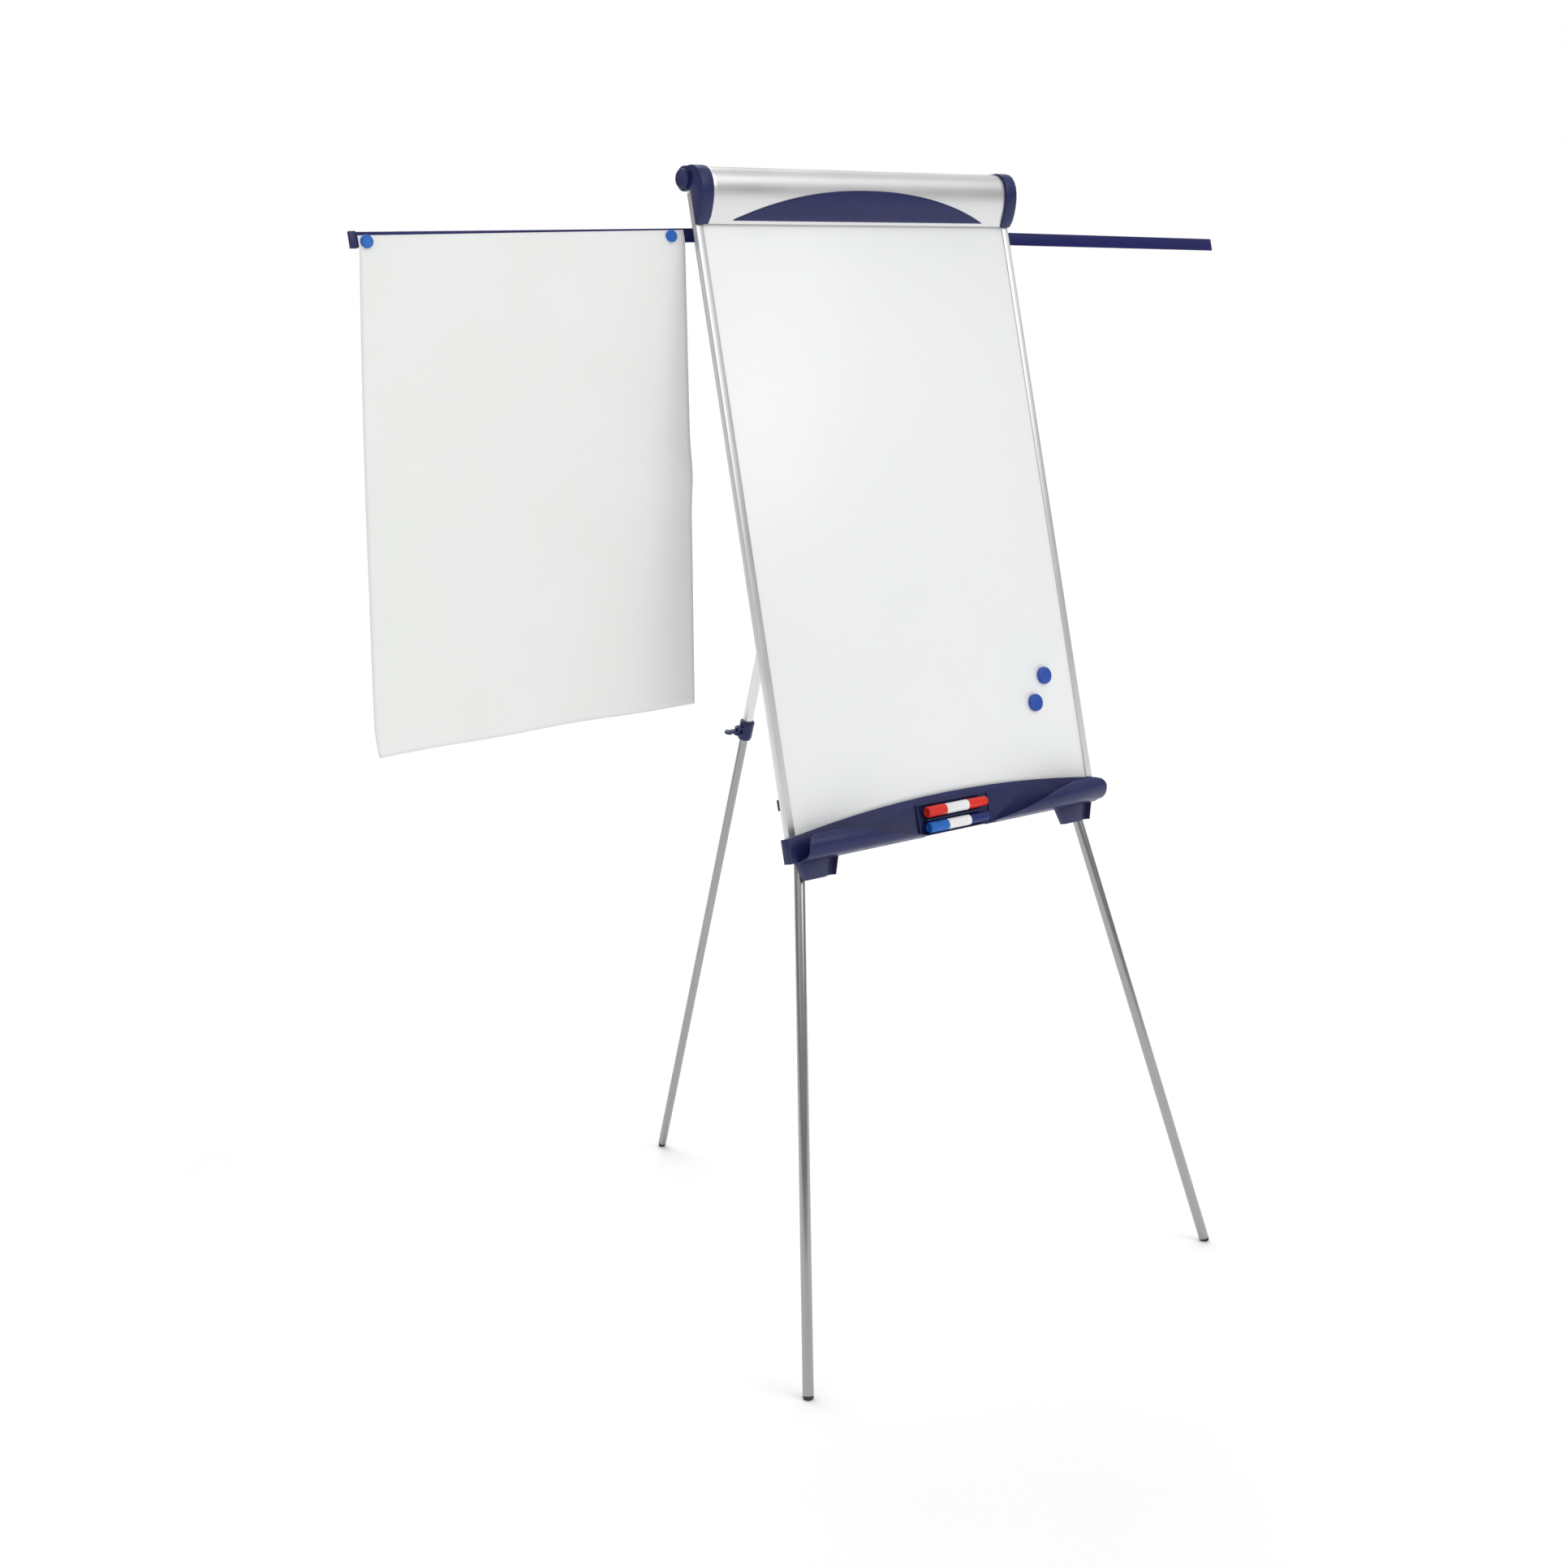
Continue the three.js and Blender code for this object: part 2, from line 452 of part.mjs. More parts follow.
const onHinge = (g) => g.translate(0, REAR_PIVOT[0], REAR_PIVOT[1]);
const bracketEar = [[-15, 912], [-15, 942], [-42, 936], ...arc(-42, 925, 11, 90, 270, 8), [-42, 914]];
addOnBoard('rear_hinge_bracket', cut(join(
  block(-31, 31, 898, 948, -15.5, -12.55),
  section(bracketEar, -15.5, -12.5),
  section(bracketEar, 12.5, 15.5),
), onHinge(alongU(rod(4.12, -30, 30, 24)))), STEEL);
const hingePin = [
  [0, -19.5], [6.5, -19.5], [6.5, -16.2], [4, -16.2], [4, 16.2], [6.5, 16.2], [6.5, 19.5], [0, 19.5],
];
addOnBoard('rear_hinge_pin', onHinge(alongU(turned(hingePin, 24))), STEEL);
add('rear_hinge_head', onLeg(cut(
  join(
    alongU(rod(9.5, -12, 12, 24)),
    block(-12, 12, -9, 44, 0, REAR_OFFSET),
    tube(12, 3, -11, 44, 28).translate(0, 0, REAR_OFFSET),
  ),
  alongU(rod(4.08, -20, 20, 24)),
  rod(REAR_UPPER_R + 0.1, -5, 60).translate(0, 0, REAR_OFFSET),
  block(-20, 20, 12, 60, -12, 8),
)), NAVY);
add('rear_leg_upper', onTube(tube(REAR_UPPER_R, REAR_UPPER_R - 1.4, -4.5, COLLAR[1] - 11)), ALUMINIUM);
const lowerEnds = [COLLAR[0] - 90, REAR_LENGTH - FOOT_SHOWS];
add('rear_leg_lower', onTube(tube(REAR_LOWER_R, REAR_LOWER_R - 1.2, ...lowerEnds)), ALUMINIUM);
const rearFoot = turned(footProfile(REAR_LOWER_R, REAR_LOWER_R - 1.45)).rotateX(Math.PI);
add('rear_foot', common(onTube(rearFoot.translate(0, REAR_LENGTH, 0)), floorBox), BLACK);
const earAt = [COLLAR[0] + 9, COLLAR[0] + 20.5];
add('rear_clamp_collar', onTube(cut(
  join(
    turned([
      [0, COLLAR[0]], [13, COLLAR[0]], [13.4, COLLAR[0] + 3], [13, COLLAR[0] + 6], [13, COLLAR[1] - 5],
      [11.5, COLLAR[1]], [0, COLLAR[1]],
    ], 32),
    ...earAt.map((y) => block(-19, -6, y, y + 3.5, -6.5, 6.5)),
    ...earAt.map((y) => rod(6.5, y, y + 3.5, 24).translate(-19, 0, 0)),
  ),
  rod(REAR_UPPER_R + 0.1, COLLAR[0] - 5, COLLAR[1] - 10.5),
  rod(REAR_LOWER_R + 0.1, COLLAR[0] - 5, COLLAR[1] + 5),
  rod(2.1, earAt[0] - 2, earAt[1] + 6, 20).translate(-19, 0, 0),
)), NAVY);
// The lever turns on its own two pins, one in each ear of the collar.
add('clamp_lever', onTube(join(
  rod(5.3, earAt[0] + 3.8, earAt[1] - 0.3, 24).translate(-19, 0, 0),
  rod(2, earAt[0] - 0.5, earAt[1] + 4, 20).translate(-19, 0, 0),
  block(-40, -19, earAt[0] + 5.6, earAt[1] - 2, -5, 5),
  rod(7, earAt[0] + 5.6, earAt[1] - 2, 24).translate(-41, 0, 0),
)), NAVY);

export default root;
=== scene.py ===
"""Looks of the flipchart easel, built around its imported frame. Metres, +Z up, the board faces -Y.
Board coordinates are millimetres: u along +X, v up the board, n forward out of its face."""
import json
import math

import bmesh
import bpy
from mathutils import Matrix, Vector


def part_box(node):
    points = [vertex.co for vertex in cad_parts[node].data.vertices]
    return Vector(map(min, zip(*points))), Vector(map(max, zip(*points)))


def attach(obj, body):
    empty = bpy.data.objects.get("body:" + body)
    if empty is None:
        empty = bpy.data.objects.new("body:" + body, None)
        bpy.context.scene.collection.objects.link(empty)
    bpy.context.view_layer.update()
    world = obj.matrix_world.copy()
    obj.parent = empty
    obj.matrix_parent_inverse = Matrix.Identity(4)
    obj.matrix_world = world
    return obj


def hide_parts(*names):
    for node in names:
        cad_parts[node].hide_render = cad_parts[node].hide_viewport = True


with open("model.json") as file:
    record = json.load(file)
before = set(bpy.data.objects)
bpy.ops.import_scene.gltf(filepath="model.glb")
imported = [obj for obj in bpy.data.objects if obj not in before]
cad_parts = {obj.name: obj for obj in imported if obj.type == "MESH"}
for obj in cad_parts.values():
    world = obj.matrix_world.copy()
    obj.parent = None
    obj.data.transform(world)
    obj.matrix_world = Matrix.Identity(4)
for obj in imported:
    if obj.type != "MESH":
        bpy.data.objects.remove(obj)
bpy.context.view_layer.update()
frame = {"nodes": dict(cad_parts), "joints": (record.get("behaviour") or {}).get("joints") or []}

NODES = frame["nodes"]
JOINTS = {joint["name"]: joint for joint in frame["joints"]}
MM = 0.001

# ---- board frame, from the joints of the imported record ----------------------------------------
ALONG = Vector((1, 0, 0))
FORWARD = Vector(JOINTS["marker_red_lift"]["axis"]).normalized()
UP = FORWARD.cross(ALONG)
PIVOT_V, PIVOT_N = 1059, -10  # the header barrel's axis
ORIGIN = Vector(JOINTS["pad_clamp_flip"]["pos_m"]) - (PIVOT_V * UP + PIVOT_N * FORWARD) * MM

# ---- sizes of the finer pieces, in board coordinates ------------------------------------------
SHEET_WIDTH, SHEET_HEIGHT, SHEET_THICKNESS = 594, 768, 0.22
SHEET_INNER, SHEET_TOP, SHEET_N = -351.5, 982, -32.5  # its inner side, top edge and plane on the bar
SHEET_STRIP = 19                    # how much of the sheet lies on the arm's bar
SHEET_DROOP = math.radians(1.2)     # how far the arm sags from level
SHEET_COLUMNS, SHEET_ROWS = 72, 96
WAVE_FULL = 500                     # the waves are whole this far below the bar
BOW, BOW_FULL = 22, 620             # how far the outer side bows back, and the drop it takes
CREASE, CREASE_DOWN, CREASE_SPAN = 5, 372, 40
CURL, CURL_DOWN = 12, 690           # the outer bottom corner curls forward

MARKER_V = {"red": 0.6, "blue": -25}
MARKER_FROM, MARKER_N, MARKER_LENGTH = -63, 12, 137
CAP_END, LABEL_END = 40, 91         # distances along a marker
STRIPE = CAP_END + 7, CAP_END + 10
CAP_RIBS = 24, 0.5, 1, CAP_END - 6  # their count, depth, start and end

COVER_FRONT = [(3, 983), (10, 992), (17, 1003), (23, 1015), (27, 1026), (29.5, 1037), (30, 1047),
               (28.5, 1056), (24.5, 1064), (18, 1070.2), (9, 1074.4)]  # (n, v) points up the front
COVER_HALF, COVER_T, COVER_SPANS = 327.75, 2.2, 64
ROLL_R = 18.9                       # the cover's top is rolled over the barrel at this radius
ROLL_FROM, ROLL_STEP, ROLL_STEPS = 66, 9.9, 11  # in degrees
TRIM_HALF, TRIM_V = 278, 988.4
TRIM_END_HEIGHT, TRIM_ARCH, TRIM_POWER = 0.6, 46.2, 2.15
TRIM_RIM, TRIM_CROWN, TRIM_ROUND = 1.2, 0.9, 2.4  # its edge height, its crown and the edge's round
TRIM_SPANS, TRIM_STEPS = 120, 14

# ---- colours ----------------------------------------------------------------------------------
NAVY = (0.016, 0.02, 0.092)
HOUSING_NAVY = (0.034, 0.038, 0.105)
ARM_NAVY = (0.008, 0.01, 0.1)
BRIGHT_BLUE = (0.01, 0.125, 0.5)
MAGNET_BLUE = (0.028, 0.085, 0.4)
RED = (0.72, 0.022, 0.012)
INK_BLUE = (0.012, 0.022, 0.14)
BLACK = (0.012, 0.012, 0.014)
LABEL_WHITE = (0.84, 0.84, 0.84)


def at(u, v, n):
    """A board point in metres."""
    return ORIGIN + (u * ALONG + v * UP + n * FORWARD) * MM


def on_board(point):
    """Board coordinates of a point in metres."""
    offset = (point - ORIGIN) / MM
    return Vector((offset.dot(ALONG), offset.dot(UP), offset.dot(FORWARD)))


def direction_of(joint):
    return tuple(Vector(JOINTS[joint]["axis"]).normalized())


# ---- mesh tools -------------------------------------------------------------------------------
def link_object(name, data):
    obj = bpy.data.objects.new(name, data)
    bpy.context.scene.collection.objects.link(obj)
    return obj


def new_object(name, points, faces):
    """A smooth-shaded mesh object with its faces turned outwards."""
    mesh = bpy.data.meshes.new(name)
    mesh.from_pydata([tuple(p) for p in points], [], faces)
    made = bmesh.new()
    made.from_mesh(mesh)
    bmesh.ops.recalc_face_normals(made, faces=made.faces)
    made.to_mesh(mesh)
    made.free()
    mesh.polygons.foreach_set("use_smooth", [True] * len(mesh.polygons))
    return link_object(name, mesh)


def grid_faces(rows, closed=False):
    """Points and quads of a grid given as rows of points; a closed grid joins each row's ends."""
    width = len(rows[0])
    faces = []
    for i in range(len(rows) - 1):
        for k in range(width if closed else width - 1):
            near, far = i * width, (i + 1) * width
            after = (k + 1) % width
            faces.append((near + k, near + after, far + after, far + k))
    return [p for row in rows for p in row], faces


def bent_plate(name, rows):
    """A plate from rows that run along its front and then back along its rear, closed at both ends."""
    points, faces = grid_faces(rows, closed=True)
    width = len(rows[0])
    for first in (0, (len(rows) - 1) * width):
        last = first + width - 1
        faces += [(first + i, first + i + 1, last - 1 - i, last - i) for i in range(width // 2 - 1)]
    return new_object(name, points, faces)


def flowing(points, steps):
    """A smooth curve through a line of points."""
    points = [Vector(p) for p in points]
    ends = [2 * points[0] - points[1], *points, 2 * points[-1] - points[-2]]
    curve = []
    for i in range(1, len(points)):
        a, b, c, d = ends[i - 1:i + 3]
        for k in range(steps):
            t = k / steps
            curve.append(0.5 * (2 * b + (c - a) * t + (2 * a - 5 * b + 4 * c - d) * t * t
                                + (3 * b - a - 3 * c + d) * t ** 3))
    return curve + [points[-1]]


def soften(points, radius, steps=4):
    """Rounds the inner corners of a line of points; radius is the most cut off each side."""
    points = [Vector(p) for p in points]
    line = [points[0]]
    for a, b, c in zip(points, points[1:], points[2:]):
        start = b + (a - b).normalized() * min(radius, (a - b).length * 0.45)
        end = b + (c - b).normalized() * min(radius, (c - b).length * 0.45)
        for k in range(steps + 1):
            t = k / steps
            line.append(start * (1 - t) ** 2 + b * 2 * t * (1 - t) + end * t * t)
    return line + [points[-1]]


def lathe(name, profile, start, along, steps=72, ribs=None):
    """A turned piece: (radius, distance) points in millimetres from a start along a direction.
    Ribs are a count, a depth and the stretch of distance that they cover."""
    axis = Vector(along).normalized()
    side = axis.orthogonal().normalized()
    other = axis.cross(side)
    rows = []
    for radius, distance in profile:
        row = []
        for k in range(steps):
            turn = math.tau * k / steps
            r = radius
            if ribs and ribs[2] <= distance <= ribs[3]:
                r -= ribs[1] * (0.5 - 0.5 * math.cos(ribs[0] * turn)) * min(1, radius / 4)
            row.append(Vector(start) + (side * math.cos(turn) + other * math.sin(turn)) * r * MM
                       + axis * distance * MM)
        rows.append(row)
    piece = new_object(name, *grid_faces(rows, closed=True))
    smooth(piece)
    return piece


def smooth_group():
    """Geometry nodes that weld a mesh, drop stored normals and shade it smooth below 34 degrees."""
    tree = bpy.data.node_groups.get("smooth_below_angle")
    if tree:
        return tree
    tree = bpy.data.node_groups.new("smooth_below_angle", "GeometryNodeTree")
    tree.interface.new_socket("Geometry", in_out="INPUT", socket_type="NodeSocketGeometry")
    tree.interface.new_socket("Geometry", in_out="OUTPUT", socket_type="NodeSocketGeometry")
    make = tree.nodes.new
    weld = make("GeometryNodeMergeByDistance")
    weld.inputs["Distance"].default_value = 0.000004
    drop = make("GeometryNodeRemoveAttribute")
    drop.inputs["Name"].default_value = "custom_normal"
    faces, edges, sharp = (make("GeometryNodeSetShadeSmooth") for _ in range(3))
    faces.domain = "FACE"
    edges.domain = "EDGE"
    sharp.domain = "EDGE"
    sharp.inputs["Shade Smooth"].default_value = False
    angle = make("GeometryNodeInputMeshEdgeAngle")
    over = make("FunctionNodeCompare")
    over.operation = "GREATER_THAN"
    over.inputs["B"].default_value = math.radians(34)
    tree.links.new(angle.outputs["Unsigned Angle"], over.inputs["A"])
    tree.links.new(over.outputs[0], sharp.inputs["Selection"])
    line = [make("NodeGroupInput"), weld, drop, faces, edges, sharp, make("NodeGroupOutput")]
    for before, after in zip(line, line[1:]):
        tree.links.new(before.outputs[0], after.inputs[0])
    return tree


def smooth(obj):
    modifier = obj.modifiers.new("smooth_below_angle", "NODES")
    modifier.node_group = smooth_group()


def round_edges(obj, width, angle=32):
    """Small rounds on the edges sharper than an angle; width in millimetres."""
    modifier = obj.modifiers.new("edge_rounds", "BEVEL")
    modifier.width = width * MM
    modifier.segments = 2
    modifier.limit_method = "ANGLE"
    modifier.angle_limit = math.radians(angle)
    modifier.miter_outer = "MITER_ARC"


def refine(obj, width):
    """Welds a CAD node, merges its flat faces, rounds its edges and shades it smooth."""
    smooth(obj)
    flat = obj.modifiers.new("flat_faces", "DECIMATE")
    flat.decimate_type = "DISSOLVE"
    flat.angle_limit = math.radians(0.6)
    if width:
        round_edges(obj, width)
    smooth(obj)


def paint(obj, material):
    obj.data.materials.clear()
    obj.data.materials.append(material)


# ---- materials --------------------------------------------------------------------------------
class Nodes:
    """A material built from a few node steps around one Principled shader."""

    def __init__(self, name):
        self.material = bpy.data.materials.new(name)
        self.material.use_nodes = True
        self.tree = self.material.node_tree
        self.shader = self.tree.nodes["Principled BSDF"]
        self.coords = self.tree.nodes.new("ShaderNodeTexCoord").outputs["Object"]
        self.normal = None

    def link(self, a, b):
        self.tree.links.new(a, b)

    def set(self, **values):
        """Sets shader sockets; a name's underscores stand for spaces."""
        for key, value in values.items():
            self.shader.inputs[key.replace("_", " ")].default_value = value
        return self

    def stretched(self, along, across_scale, along_scale):
        """Object coordinates turned so that Z runs along a direction, then scaled."""
        turn = self.tree.nodes.new("ShaderNodeMapping")
        tilt = Vector(along).rotation_difference(Vector((0, 0, 1)))
        turn.inputs["Rotation"].default_value = tilt.to_euler()
        self.link(self.coords, turn.inputs["Vector"])
        size = self.tree.nodes.new("ShaderNodeMapping")
        size.inputs["Scale"].default_value = (across_scale, across_scale, along_scale)
        self.link(turn.outputs["Vector"], size.inputs["Vector"])
        return size.outputs["Vector"]

    def noise(self, scale=1.0, detail=3, coords=None, roughness=0.5):
        node = self.tree.nodes.new("ShaderNodeTexNoise")
        node.inputs["Scale"].default_value = scale
        node.inputs["Detail"].default_value = detail
        node.inputs["Roughness"].default_value = roughness
        self.link(coords or self.coords, node.inputs["Vector"])
        return node.outputs["Fac"]

    def crystals(self, scale):
        """A random grey for each cell of a Voronoi pattern."""
        cells = self.tree.nodes.new("ShaderNodeTexVoronoi")
        cells.inputs["Scale"].default_value = scale
        self.link(self.coords, cells.inputs["Vector"])
        grey = self.tree.nodes.new("ShaderNodeRGBToBW")
        self.link(cells.outputs["Color"], grey.inputs[0])
        return grey.outputs[0]

    def ramp(self, factor, low, high, start=0.3, end=0.7):
        """A number that goes from low to high as the factor goes from start to end."""
        node = self.tree.nodes.new("ShaderNodeMapRange")
        for name, value in (("From Min", start), ("From Max", end), ("To Min", low), ("To Max", high)):
            node.inputs[name].default_value = value
        self.link(factor, node.inputs["Value"])
        return node.outputs["Result"]

    def mix(self, factor, a, b, blend="MIX"):
        """Mixes two colours; the factor and the colours are values or sockets."""
        node = self.tree.nodes.new("ShaderNodeMix")
        node.data_type = "RGBA"
        node.blend_type = blend
        for socket, value in ((node.inputs["Factor"], factor), (node.inputs[6], a), (node.inputs[7], b)):
            if isinstance(value, bpy.types.NodeSocket):
                self.link(value, socket)
            else:
                socket.default_value = (*value, 1) if isinstance(value, tuple) else value
        return node.outputs[2]

    def ramp_to(self, socket, factor, low, high, start=0.3, end=0.7):
        """Drives one shader socket from a factor: a colour between two colours, or a number."""
        if isinstance(low, tuple):
            result = self.mix(self.ramp(factor, 0, 1, start, end), low, high)
        else:
            result = self.ramp(factor, low, high, start, end)
        self.link(result, self.shader.inputs[socket])

    def bump(self, height, depth, strength):
        """Adds a layer of relief, with its depth in metres."""
        node = self.tree.nodes.new("ShaderNodeBump")
        node.inputs["Strength"].default_value = strength
        node.inputs["Distance"].default_value = depth
        self.link(height, node.inputs["Height"])
        if self.normal is not None:
            self.link(self.normal, node.inputs["Normal"])
        self.normal = node.outputs["Normal"]
        self.link(self.normal, self.shader.inputs["Normal"])

    def edges(self, radius):
        """1 on sharp edges and 0 on flat faces."""
        bevel = self.tree.nodes.new("ShaderNodeBevel")
        bevel.inputs["Radius"].default_value = radius
        geometry = self.tree.nodes.new("ShaderNodeNewGeometry")
        dot = self.tree.nodes.new("ShaderNodeVectorMath")
        dot.operation = "DOT_PRODUCT"
        self.link(bevel.outputs["Normal"], dot.inputs[0])
        self.link(geometry.outputs["Normal"], dot.inputs[1])
        return self.ramp(dot.outputs["Value"], 1, 0, 0.86, 0.995)


MATERIALS = {}


def once(build):
    """Makes each material only the first time it is asked for."""
    def wrapped(*args):
        key = (build.__name__, *args)
        if key not in MATERIALS:
            MATERIALS[key] = build(*args).material
        return MATERIALS[key]
    return wrapped


def shade(colour, factor, lift=0.0):
    """A colour made lighter or darker."""
    return tuple(min(1, c * factor + lift) for c in colour)


@once
def aluminium(name, along, tone=0.74, roughness=0.3):
    """Satin anodised aluminium, drawn or brushed along one direction."""
    made = Nodes(name).set(Metallic=1.0)
    streaks = made.noise(detail=4, coords=made.stretched(along, 2600, 14), roughness=0.6)
    clouds = made.noise(scale=9, detail=2)
    made.ramp_to("Base Color", streaks, (tone - 0.035,) * 3, (tone + 0.03, tone + 0.033, tone + 0.04))
    made.ramp_to("Roughness", clouds, roughness - 0.03, roughness + 0.05)
    made.bump(streaks, 0.00002, 0.5)
    made.bump(made.noise(scale=5200, detail=1), 0.00001, 0.25)
    return made


@once
def enamel(name):
    """White baked enamel on steel: glossy, faint orange peel and wiped-off marks."""
    made = Nodes(name).set(Coat_Weight=0.1, Coat_Roughness=0.12)
    clouds = made.noise(scale=2.2)
    wiped = made.noise(detail=4, coords=made.stretched(UP + 0.35 * ALONG, 16, 5))
    made.ramp_to("Base Color", clouds, (0.895, 0.905, 0.902), (0.91, 0.917, 0.915))
    made.ramp_to("Roughness", wiped, 0.29, 0.3)
    made.bump(made.noise(scale=420, detail=2), 0.00002, 0.3)
    return made


@once
def plastic(name, colour, roughness=0.36):
    """Moulded plastic with a fine grain and edges rubbed a little lighter."""
    made = Nodes(name).set(Specular_IOR_Level=0.3)
    clouds = made.noise(scale=24)
    body = made.mix(made.ramp(clouds, 0, 1), shade(colour, 0.93), shade(colour, 1.07))
    wear = made.ramp(made.edges(0.0007), 0, 0.35, 0, 1)
    worn = made.mix(wear, (0, 0, 0), shade(colour, 1.6, 0.04))
    made.link(made.mix(1, body, worn, "ADD"), made.shader.inputs["Base Color"])
    made.ramp_to("Roughness", made.noise(scale=70, detail=4), roughness - 0.05, roughness + 0.08)
    made.bump(made.noise(scale=1900, detail=1), 0.00002, 0.2)
    return made


@once
def painted_steel(name, colour):
    """Powder-coated steel bar: fine orange peel over a smooth coat."""
    made = Nodes(name).set(Specular_IOR_Level=0.2)
    made.ramp_to("Base Color", made.noise(scale=7, detail=2), shade(colour, 0.88), shade(colour, 1.1))
    made.ramp_to("Roughness", made.noise(scale=55), 0.3, 0.42)
    made.bump(made.noise(scale=900, detail=2), 0.00003, 0.4)
    return made


@once
def galvanised(name):
    """Galvanised sheet steel with its crystal spangle."""
    made = Nodes(name).set(Metallic=1.0)
    spangle = made.crystals(130)
    made.ramp_to("Base Color", spangle, (0.5, 0.51, 0.53), (0.68, 0.69, 0.7), 0.1, 0.9)
    made.ramp_to("Roughness", spangle, 0.34, 0.5, 0.1, 0.9)
    made.bump(made.noise(scale=300), 0.00003, 0.3)
    return made


@once
def rubber(name):
    """Dull black rubber, dusty in its pores."""
    made = Nodes(name)
    made.ramp_to("Base Color", made.noise(scale=300, detail=4), (0.022, 0.022, 0.024), (0.05, 0.05, 0.052))
    made.ramp_to("Roughness", made.noise(scale=120, detail=2), 0.62, 0.8)
    made.bump(made.noise(scale=1500), 0.00008, 0.5)
    return made


@once
def paper(name):
    """Uncoated flipchart paper with soft fibres."""
    made = Nodes(name).set(Specular_IOR_Level=0.3)
    fibres = made.noise(detail=5, coords=made.stretched((0, 0, 1), 700, 260), roughness=0.7)
    made.ramp_to("Base Color", made.noise(scale=5), (0.845, 0.86, 0.84), (0.87, 0.88, 0.865))
    made.ramp_to("Roughness", fibres, 0.75, 0.92)
    made.bump(fibres, 0.00005, 0.25)
    return made


@once
def board_core(name):
    """Pressed fibre core."""
    made = Nodes(name).set(Roughness=0.9)
    fibres = made.noise(detail=5, coords=made.stretched((0, 0, 1), 500, 120), roughness=0.7)
    made.ramp_to("Base Color", fibres, (0.4, 0.28, 0.16), (0.6, 0.45, 0.28))
    made.bump(fibres, 0.0001, 0.4)
    return made


def header_aluminium():
    return aluminium("header_aluminium", tuple(ALONG), 0.72, 0.34)


# ---- camera, light and floor ------------------------------------------------------------------
def make_camera():
    data = bpy.data.cameras.new("camera")
    data.sensor_width = 36
    data.lens = 55.29
    data.shift_y = -0.0999
    data.clip_end = 60
    camera = link_object("camera", data)
    yaw, pitch, roll = (math.radians(a) for a in (40.33, -9.02, 0.22))
    forward = Vector((math.sin(yaw) * math.cos(pitch), math.cos(yaw) * math.cos(pitch), math.sin(pitch)))
    right = forward.cross(Vector((0, 0, 1))).normalized()
    up = right.cross(forward)
    right, up = (right * math.cos(roll) + up * math.sin(roll), up * math.cos(roll) - right * math.sin(roll))
    turn = Matrix((right, up, -forward)).transposed()
    camera.matrix_world = Matrix.LocRotScale(Vector((-2.7402, -3.1025, 1.7471)), turn, None)
    bpy.context.scene.camera = camera


def aim(lamp, place, target):
    lamp.location = place
    lamp.rotation_euler = (Vector(target) - Vector(place)).to_track_quat("-Z", "Y").to_euler()


def make_panel(name, place, size, power):
    """A rectangular light aimed at the middle of the easel."""
    data = bpy.data.lights.new(name, "AREA")
    data.shape = "RECTANGLE"
    data.size, data.size_y = size
    data.energy = power
    aim(link_object(name, data), place, (0, 0, 1.2))


def make_sun(name, place, strength, spread):
    """A distant light with a wide, soft disc, so the floor is lit evenly."""
    data = bpy.data.lights.new(name, "SUN")
    data.energy = strength
    data.angle = math.radians(spread)
    aim(link_object(name, data), place, (0, 0, 0))


def make_sky():
    """White behind the object; the light that it gives is brighter overhead than at the horizon."""
    world = bpy.data.worlds.new("studio")
    bpy.context.scene.world = world
    world.use_nodes = True
    tree = world.node_tree
    background = tree.nodes["Background"]
    background.inputs["Color"].default_value = (1, 1, 1, 1)
    coords = tree.nodes.new("ShaderNodeTexCoord")
    split = tree.nodes.new("ShaderNodeSeparateXYZ")
    tree.links.new(coords.outputs["Generated"], split.inputs[0])
    light = tree.nodes.new("ShaderNodeMapRange")
    for name, value in (("From Min", 0.0), ("From Max", 0.8), ("To Min", 0.3), ("To Max", 0.8)):
        light.inputs[name].default_value = value
    tree.links.new(split.outputs["Z"], light.inputs["Value"])
    ray = tree.nodes.new("ShaderNodeLightPath")
    choose = tree.nodes.new("ShaderNodeMix")
    choose.inputs[3].default_value = 1.0
    tree.links.new(ray.outputs["Is Camera Ray"], choose.inputs["Factor"])
    tree.links.new(light.outputs["Result"], choose.inputs[2])
    tree.links.new(choose.outputs[0], background.inputs["Strength"])


def make_floor():
    """A pale floor just under the feet, wide enough to reach the horizon."""
    half, below = 30, -0.0015
    rows = [[Vector((x, y, below)) for x in (-half, half)] for y in (-half, half)]
    floor = new_object("floor", *grid_faces(rows))
    made = Nodes("floor_paint").set(Roughness=0.8, Specular_IOR_Level=0.2)
    made.ramp_to("Base Color", made.noise(scale=1.4, detail=2), (0.89, 0.892, 0.895), (0.91, 0.91, 0.91))
    paint(floor, made.material)


def make_studio():
    make_sky()
    make_sun("key", (2.2, -5.4, 4.8), strength=0.62, spread=44)
    make_sun("back", (1.0, 3.0, 5.0), strength=1.35, spread=50)
    make_panel("left_panel", (-4.2, -1.6, 3.4), size=(0.7, 3.0), power=7)
    make_panel("right_panel", (1.6, -4.4, 3.6), size=(1.6, 1.6), power=9)
    bpy.context.scene.view_settings.view_transform = "Standard"
    make_floor()


# ---- pieces -----------------------------------------------------------------------------------
def carry(names, material, width):
    """Keeps CAD nodes and gives them a material and edges rounded by a width in millimetres."""
    for name in names.split():
        paint(NODES[name], material)
        refine(NODES[name], width)


def stand_for(piece, body, node, material):
    """Puts a fine piece in a CAD node's place."""
    paint(piece, material)
    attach(piece, body)
    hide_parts(node)


